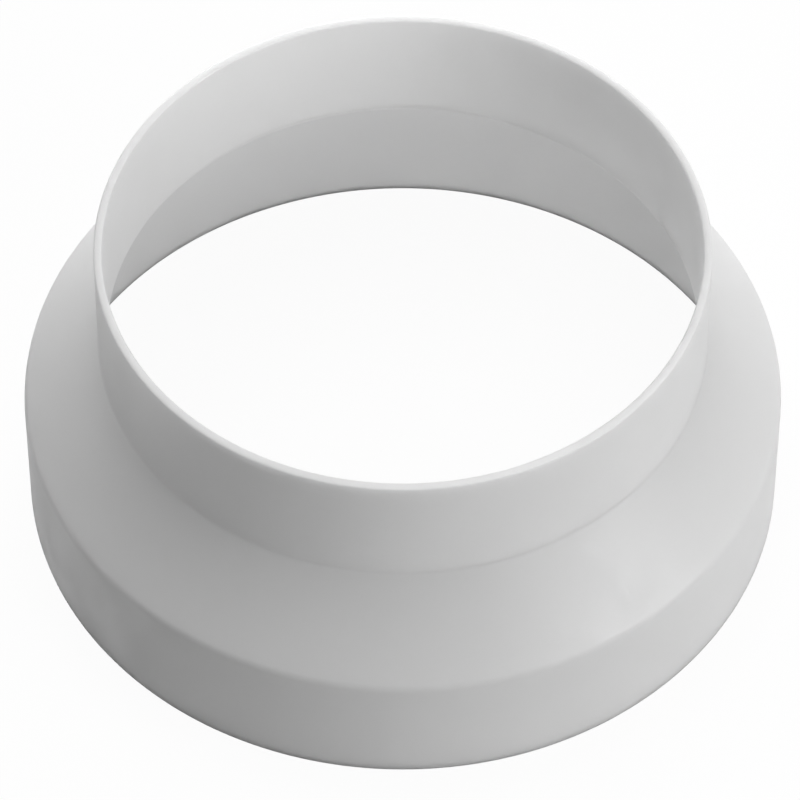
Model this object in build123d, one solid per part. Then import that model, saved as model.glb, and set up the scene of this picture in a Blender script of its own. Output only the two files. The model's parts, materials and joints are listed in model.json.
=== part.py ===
from build123d import *

import os
from math import atan2, tan

# A duct reducer: one moulded tube that steps from a wide spigot to a narrow one.
# Millimetres, +Z up. The origin is on the axis, in the plane of the wide rim that the reducer stands on.

# Spigots: outside diameter, and straight height up to or down to the shoulder's corner
WIDE_DIAMETER = 125.0
WIDE_HEIGHT = 22.0
NARROW_DIAMETER = 99.5
NARROW_HEIGHT = 21.5

# Conical shoulder between the two spigots
SHOULDER_HEIGHT = 14.0
SHOULDER_INNER_ROUND = 1.0
NECK_FILLET = 1.0

# Wall, the same all the way through the section
WALL = 1.4

# Rims: a rounded lead-in outside, a small break inside, and the most of the wall that either may take
LEAD_IN_ROUND = 0.25
INNER_EDGE_BREAK = 0.15
RIM_SHARE = 0.45


def wall_line(inset):
    """One side of the section, from the wide rim up to the narrow rim, set in from the outside by inset."""
    wide_radius = WIDE_DIAMETER / 2
    narrow_radius = NARROW_DIAMETER / 2
    shoulder_turn = atan2(wide_radius - narrow_radius, SHOULDER_HEIGHT)
    corner_drop = inset * tan(shoulder_turn / 2)
    shoulder_foot = WIDE_HEIGHT - corner_drop
    neck_foot = WIDE_HEIGHT + SHOULDER_HEIGHT - corner_drop
    rim_height = WIDE_HEIGHT + SHOULDER_HEIGHT + NARROW_HEIGHT
    return FilletPolyline(
        (wide_radius - inset, 0),
        (wide_radius - inset, shoulder_foot),
        (narrow_radius - inset, neck_foot),
        (narrow_radius - inset, rim_height),
        radius=[SHOULDER_INNER_ROUND + WALL - inset, NECK_FILLET + inset],
    )


def rim_corners(section, place):
    """The corners of both rims at that place in the rim, from 0 on the inside to -1 on the outside."""
    rows = section.vertices().group_by(Axis.Y)
    return [row.sort_by(Axis.X)[place] for row in (rows[0], rows[-1])]


def wall_section():
    """The closed section of the wall on the XZ plane, with the edges of both rims taken off."""
    with BuildSketch(Plane.XZ) as section:
        with BuildLine():
            outside = wall_line(0)
            inside = wall_line(WALL)
            Line(outside @ 0, inside @ 0)
            Line(outside @ 1, inside @ 1)
        make_face()
        fillet(rim_corners(section, -1), min(LEAD_IN_ROUND, RIM_SHARE * WALL))
        chamfer(rim_corners(section, 0), min(INNER_EDGE_BREAK, RIM_SHARE * WALL))
    return section.sketch


def reducer():
    """The wall's section turned once round the duct's axis."""
    return revolve(wall_section(), axis=Axis.Z)


os.makedirs("parts", exist_ok=True)
export_step(reducer(), "parts/reducer.step")
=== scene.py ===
import json
import math
import bpy
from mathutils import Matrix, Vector


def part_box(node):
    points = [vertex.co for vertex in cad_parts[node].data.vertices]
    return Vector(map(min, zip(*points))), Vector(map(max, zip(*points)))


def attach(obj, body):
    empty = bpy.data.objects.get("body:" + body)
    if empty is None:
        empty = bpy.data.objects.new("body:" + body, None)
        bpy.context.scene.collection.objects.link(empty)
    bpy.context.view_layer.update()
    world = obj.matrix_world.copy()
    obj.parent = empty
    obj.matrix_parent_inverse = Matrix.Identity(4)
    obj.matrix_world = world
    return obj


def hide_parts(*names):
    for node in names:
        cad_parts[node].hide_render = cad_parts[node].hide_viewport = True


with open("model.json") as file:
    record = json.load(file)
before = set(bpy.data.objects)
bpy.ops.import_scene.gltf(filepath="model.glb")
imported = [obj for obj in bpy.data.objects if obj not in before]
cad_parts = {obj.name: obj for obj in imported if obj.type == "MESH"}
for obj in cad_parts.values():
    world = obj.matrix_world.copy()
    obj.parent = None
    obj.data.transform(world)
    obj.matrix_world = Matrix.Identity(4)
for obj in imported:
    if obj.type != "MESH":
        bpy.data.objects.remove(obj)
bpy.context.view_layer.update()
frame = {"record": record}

MM = 0.001
WHITE = (1, 1, 1, 1)

# Camera: the point it looks at, from how far and how high, and how long its lens is
AIM = Vector((-0.46, 0, 17.56)) * MM
CAMERA_DISTANCE = 1.0
CAMERA_ELEVATION = 51.44
LENS = 271.4
SENSOR = 36.0

# Rounds of the section where the walls bend, measured outside
SHOULDER_ROUND = 2.4 * MM
NECK_FILLET = 1.0 * MM

# Mesh: faces round the axis, rows along each straight wall, and rows round each bend and each rim edge
AROUND = 256
WALL_ROWS = 10
BEND_ROWS = 8
EDGE_ROWS = 6

# Points of the section closer than this are one point, and edges that turn by more than this stay crisp
SAME_POINT = 0.01 * MM
SHARP_ANGLE = math.radians(30)

# Plastic: the record's slot that gives its colour, how deep light goes into it, and how its surface wanders
SLOT = "white_plastic"
LIGHT_DEPTH = 5.0 * MM
TONE_SPREAD = 0.012
ROUGHNESS = 0.45
ROUGHNESS_SPREAD = 0.05
GRAIN_DEPTH = 0.006 * MM

# Noise as (scale, detail), laid out in metres, and the part of its range that counts
FLOW_NOISE = (22.0, 3)
PATCH_NOISE = (160.0, 2)
GRAIN_NOISE = (2600.0, 2)
NOISE_LOW = 0.3
NOISE_HIGH = 0.7

# Floor: its tone where it throws light back, and how much of the white that it shows takes no shadow
FLOOR_SIZE = 6.0
FLOOR_TONE = 0.5
FLOOR_GLOW = 0.95

# Light: even fill from all round, and softboxes as (name, azimuth, elevation, width, height, power)
# in degrees, metres and watts. Azimuth 0 is the camera's side and 90 its right.
FILL = 0.1
LAMP_DISTANCE = 1.2
LAMPS = (
    ("low_back", 180, 1.8, 0.7, 0.06, 8.0),
    ("key", 60, 20, 0.7, 0.7, 7.9),
    ("top", 210, 75, 0.7, 0.7, 6.3),
    ("back", 180, 55, 0.7, 0.7, 2.7),
)


def straight_wall(mount_name):
    """Radius, foot and top of the straight round wall that a mount states, in metres."""
    mount = next(m for m in frame["record"]["mounts"] if m["name"] == mount_name)
    middle = mount["pos_m"][2]
    half = mount["dims"]["length_mm"] * MM / 2
    return mount["dims"]["r_mm"] * MM, middle - half, middle + half


def arc(centre, radius, start, turn, rows):
    """Points on an arc of the section, as (distance from the axis, height)."""
    angles = [start + turn * i / rows for i in range(rows + 1)]
    return [(centre[0] + radius * math.cos(angle), centre[1] + radius * math.sin(angle)) for angle in angles]


def straight(start, end, rows):
    """Points on a straight run of the section, closer together towards its two ends."""
    shares = [(1 - math.cos(math.pi * i / rows)) / 2 for i in range(rows + 1)]
    return [tuple(first + (last - first) * share for first, last in zip(start, end)) for share in shares]


def s_bend(wide_radius, narrow_radius, foot, top, lower_round, upper_round):
    """The shoulder's side of the section, from the top of the wide wall to the foot of the narrow one."""
    lower = (wide_radius - lower_round, foot)
    upper = (narrow_radius + upper_round, top)
    reach = Vector(upper) - Vector(lower)
    rounds = lower_round + upper_round
    turn = math.atan2(reach.y, reach.x) - math.acos(rounds / reach.length)
    bend_in = arc(lower, lower_round, 0, turn, BEND_ROWS)
    bend_out = arc(upper, upper_round, math.pi + turn, -turn, BEND_ROWS)
    return bend_in + straight(bend_in[-1], bend_out[0], WALL_ROWS)[1:-1] + bend_out


def section():
    """The closed outline of the wall, from the wide rim up the outside and down the inside."""
    wide, wide_foot, wide_top = straight_wall("wide_spigot")
    narrow, narrow_foot, narrow_top = straight_wall("narrow_spigot")
    wide_bore, wide_bore_foot, _ = straight_wall("wide_bore")
    narrow_bore, _, narrow_bore_top = straight_wall("narrow_bore")
    low, high = (corner.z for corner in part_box("reducer"))
    wall = wide - wide_bore
    foot_lead_in = wide_foot - low
    top_lead_in = high - narrow_top
    edge_break = high - narrow_bore_top
    outside = s_bend(wide, narrow, wide_top, narrow_foot, SHOULDER_ROUND, NECK_FILLET)
    inside = s_bend(wide_bore, narrow_bore, wide_top, narrow_foot, SHOULDER_ROUND - wall, NECK_FILLET + wall)
    quarter = math.pi / 2
    runs = [
        arc((wide - foot_lead_in, wide_foot), foot_lead_in, -quarter, quarter, EDGE_ROWS),
        straight((wide, wide_foot), (wide, wide_top), WALL_ROWS),
        outside,
        straight((narrow, narrow_foot), (narrow, narrow_top), WALL_ROWS),
        arc((narrow - top_lead_in, narrow_top), top_lead_in, 0, quarter, EDGE_ROWS),
        [(narrow_bore + edge_break, high)],
        straight((narrow_bore, narrow_bore_top), (narrow_bore, narrow_foot), WALL_ROWS),
        inside[::-1],
        straight((wide_bore, wide_top), (wide_bore, wide_bore_foot), WALL_ROWS),
        [(wide_bore + edge_break, low)],
    ]
    points = []
    for run in runs:
        repeats = bool(points) and math.dist(points[-1], run[0]) < SAME_POINT
        points += run[1:] if repeats else run
    return points


def turned_mesh(name, outline):
    """A mesh made by turning a closed outline once round the Z axis."""
    count = len(outline)
    turns = [2 * math.pi * i / AROUND for i in range(AROUND)]
    places = [(r * math.cos(turn), r * math.sin(turn), z) for turn in turns for r, z in outline]
    faces = []
    for i in range(AROUND):
        here = i * count
        there = (i + 1) % AROUND * count
        for j in range(count):
            k = (j + 1) % count
            faces.append((here + j, there + j, there + k, here + k))
    mesh = bpy.data.meshes.new(name)
    mesh.from_pydata(places, [], faces)
    mesh.shade_smooth()
    mesh.set_sharp_from_angle(angle=SHARP_ANGLE)
    return mesh


def noise(nodes, links, place, scale, detail):
    """A noise texture laid out in metres on the object."""
    texture = nodes.new("ShaderNodeTexNoise")
    texture.inputs["Scale"].default_value = scale
    texture.inputs["Detail"].default_value = detail
    links.new(place.outputs["Object"], texture.inputs["Vector"])
    return texture.outputs["Fac"]


def spread(nodes, links, factor, middle, half):
    """A value that wanders about the middle by at most the half given."""
    mapped = nodes.new("ShaderNodeMapRange")
    mapped.inputs["From Min"].default_value = NOISE_LOW
    mapped.inputs["From Max"].default_value = NOISE_HIGH
    mapped.inputs["To Min"].default_value = middle - half
    mapped.inputs["To Max"].default_value = middle + half
    links.new(factor, mapped.inputs["Value"])
    return mapped.outputs["Result"]


def white_plastic():
    """Satin white plastic that lets light in, with faint flow tones, patchy gloss and a fine grain."""
    slot = next(m for m in frame["record"]["materials"] if m["slot"] == SLOT)
    material = bpy.data.materials.new(SLOT)
    material.use_nodes = True
    nodes, links = material.node_tree.nodes, material.node_tree.links
    shader = nodes["Principled BSDF"]
    place = nodes.new("ShaderNodeTexCoord")
    grey = sum(slot["base_color"]) / len(slot["base_color"])
    tone = spread(nodes, links, noise(nodes, links, place, *FLOW_NOISE), grey, TONE_SPREAD)
    colour = nodes.new("ShaderNodeCombineColor")
    for channel in ("Red", "Green", "Blue"):
        links.new(tone, colour.inputs[channel])
    links.new(colour.outputs["Color"], shader.inputs["Base Color"])
    shader.inputs["Subsurface Weight"].default_value = 1.0
    shader.inputs["Subsurface Radius"].default_value = (1, 1, 1)
    shader.inputs["Subsurface Scale"].default_value = LIGHT_DEPTH
    gloss = spread(nodes, links, noise(nodes, links, place, *PATCH_NOISE), ROUGHNESS, ROUGHNESS_SPREAD)
    links.new(gloss, shader.inputs["Roughness"])
    bump = nodes.new("ShaderNodeBump")
    bump.inputs["Distance"].default_value = GRAIN_DEPTH
    links.new(noise(nodes, links, place, *GRAIN_NOISE), bump.inputs["Height"])
    links.new(bump.outputs["Normal"], shader.inputs["Normal"])
    return material


def reducer():
    """The whole moulded piece, in place of its solid."""
    piece = bpy.data.objects.new("reducer_moulding", turned_mesh("reducer_moulding", section()))
    bpy.context.scene.collection.objects.link(piece)
    piece.data.materials.append(white_plastic())
    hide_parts("reducer")
    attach(piece, "root")


def seen_directly(nodes, links):
    """1 for rays that show the background itself: from the camera, or by way of gloss or glass."""
    path = nodes.new("ShaderNodeLightPath")
    total = path.outputs["Is Camera Ray"]
    for kind in ("Is Glossy Ray", "Is Transmission Ray"):
        either = nodes.new("ShaderNodeMath")
        either.operation = "MAXIMUM"
        links.new(total, either.inputs[0])
        links.new(path.outputs[kind], either.inputs[1])
        total = either.outputs["Value"]
    return total


def mixed(nodes, links, share, first, second):
    """Two shaders mixed; share is a number or another node's output, and 1 gives the second alone."""
    mix = nodes.new("ShaderNodeMixShader")
    if isinstance(share, bpy.types.NodeSocket):
        links.new(share, mix.inputs["Fac"])
    else:
        mix.inputs["Fac"].default_value = share
    links.new(first.outputs[0], mix.inputs[1])
    links.new(second.outputs[0], mix.inputs[2])
    return mix


def floor():
    """A pale floor that keeps the shadow, shows white round it and can be looked through from below."""
    mesh = bpy.data.meshes.new("floor")
    half = FLOOR_SIZE / 2
    corners = [(-half, -half, 0), (half, -half, 0), (half, half, 0), (-half, half, 0)]
    mesh.from_pydata(corners, [], [(0, 1, 2, 3)])
    plane = bpy.data.objects.new("floor", mesh)
    bpy.context.scene.collection.objects.link(plane)
    material = bpy.data.materials.new("floor")
    material.use_nodes = True
    nodes, links = material.node_tree.nodes, material.node_tree.links
    nodes.remove(nodes["Principled BSDF"])
    tone, paper = (nodes.new("ShaderNodeBsdfDiffuse") for _ in range(2))
    tone.inputs["Color"].default_value = (FLOOR_TONE, FLOOR_TONE, FLOOR_TONE, 1)
    paper.inputs["Color"].default_value = WHITE
    glow = nodes.new("ShaderNodeEmission")
    clear = nodes.new("ShaderNodeBsdfTransparent")
    side = nodes.new("ShaderNodeNewGeometry")
    shown = mixed(nodes, links, FLOOR_GLOW, paper, glow)
    above = mixed(nodes, links, seen_directly(nodes, links), tone, shown)
    either = mixed(nodes, links, side.outputs["Backfacing"], above, clear)
    links.new(either.outputs["Shader"], nodes["Material Output"].inputs["Surface"])
    mesh.materials.append(material)


def surroundings():
    """An even white room: soft fill on the object, and plain white where it is seen directly."""
    world = bpy.data.worlds.new("surroundings")
    world.use_nodes = True
    bpy.context.scene.world = world
    nodes, links = world.node_tree.nodes, world.node_tree.links
    strength = nodes.new("ShaderNodeMapRange")
    strength.inputs["To Min"].default_value = FILL
    strength.inputs["To Max"].default_value = 1.0
    links.new(seen_directly(nodes, links), strength.inputs["Value"])
    background = nodes["Background"]
    background.inputs["Color"].default_value = WHITE
    links.new(strength.outputs["Result"], background.inputs["Strength"])


def aimed(name, data, azimuth, elevation, distance):
    """A camera or lamp that looks at the aim from there."""
    turn = math.radians(azimuth)
    rise = math.radians(elevation)
    towards = Vector((math.sin(turn) * math.cos(rise), -math.cos(turn) * math.cos(rise), math.sin(rise)))
    thing = bpy.data.objects.new(name, data)
    bpy.context.scene.collection.objects.link(thing)
    thing.location = AIM + towards * distance
    thing.rotation_euler = towards.to_track_quat("Z", "Y").to_euler()
    return thing


def softbox(name, azimuth, elevation, width, height, power):
    """A flat lamp aimed at the object."""
    data = bpy.data.lights.new(name, "AREA")
    data.shape = "RECTANGLE"
    data.size = width
    data.size_y = height
    data.energy = power
    aimed(name, data, azimuth, elevation, LAMP_DISTANCE)


def camera():
    """The photograph's view: from the front, looking down into the narrow end."""
    data = bpy.data.cameras.new("camera")
    data.lens = LENS
    data.sensor_width = SENSOR
    bpy.context.scene.camera = aimed("camera", data, 0, CAMERA_ELEVATION, CAMERA_DISTANCE)


bpy.context.scene.view_settings.view_transform = "Standard"
reducer()
floor()
surroundings()
for lamp in LAMPS:
    softbox(*lamp)
camera()
